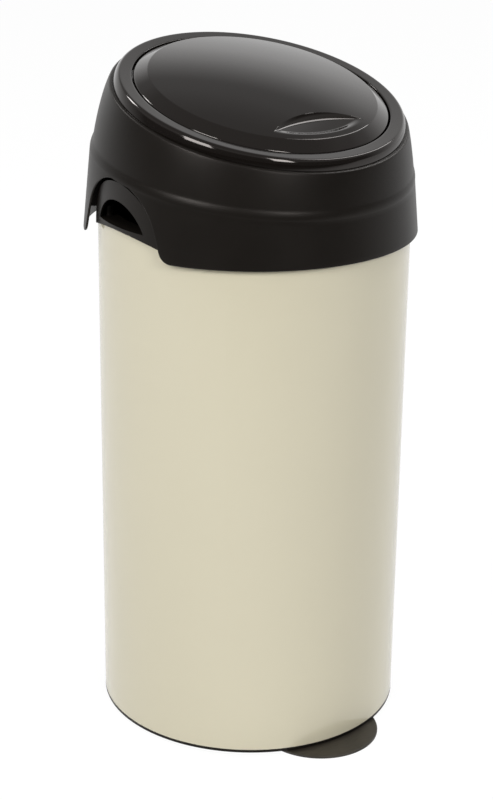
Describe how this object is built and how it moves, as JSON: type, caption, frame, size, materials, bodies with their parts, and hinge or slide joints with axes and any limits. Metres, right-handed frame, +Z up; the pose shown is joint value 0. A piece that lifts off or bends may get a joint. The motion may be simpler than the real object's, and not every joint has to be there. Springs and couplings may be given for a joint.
{
  "type": "trash can",
  "caption": "Round free-standing waste bin with a slanted lift-off cover, a counterweighted swing flap with a finger recess, side hand holes and a foot plate.",
  "frame": {"origin": "on the floor, under the axis of the steel body", "axes": "+Z up along the steel body's axis, front with the foot plate and the flap's finger recess towards -Y, +X to the right seen from the front"},
  "size_m": [0.31, 0.3452, 0.6619],
  "materials": {
    "body_paint": "glossy cream paint on sheet steel",
    "black_plastic": "fine matte black moulding",
    "gloss_black": "polished black moulding",
    "plate_paint": "semi-matt dark brown-grey",
    "screw_steel": "zinc-plated steel",
    "bush_plastic": "natural acetal",
    "rubber": "soft black",
    "weight_steel": "plain steel flat bar"
  },
  "bodies": {
    "bin": {"steel_body": "body_paint", "base_pan": "black_plastic", "foot_plate": "plate_paint", "foot_plate_screws": "screw_steel", "collar": "black_plastic", "collar_rivets": "screw_steel", "left_grip": "black_plastic", "right_grip": "black_plastic", "grip_screws": "screw_steel"},
    "cover": {"cover": "black_plastic", "bezel": "gloss_black", "bezel_screws": "screw_steel", "left_bush": "bush_plastic", "right_bush": "bush_plastic", "stop_pads": "rubber"},
    "flap": {"flap_top": "gloss_black", "flap_underside": "black_plastic", "flap_screws": "screw_steel", "counterweight": "weight_steel", "counterweight_screws": "screw_steel", "left_pivot_pin": "screw_steel", "right_pivot_pin": "screw_steel"}
  },
  "joints": [
    {"name": "cover_lift", "type": "slide", "parent": "bin", "child": "cover", "axis": [0, 0, 1], "range_m": [0, 0.2]},
    {"name": "flap_swing", "type": "hinge", "parent": "cover", "child": "flap", "pos_m": [0, -0.00736, 0.61895], "axis": [1, 0, 0], "range_deg": [0, 75]}
  ]
}
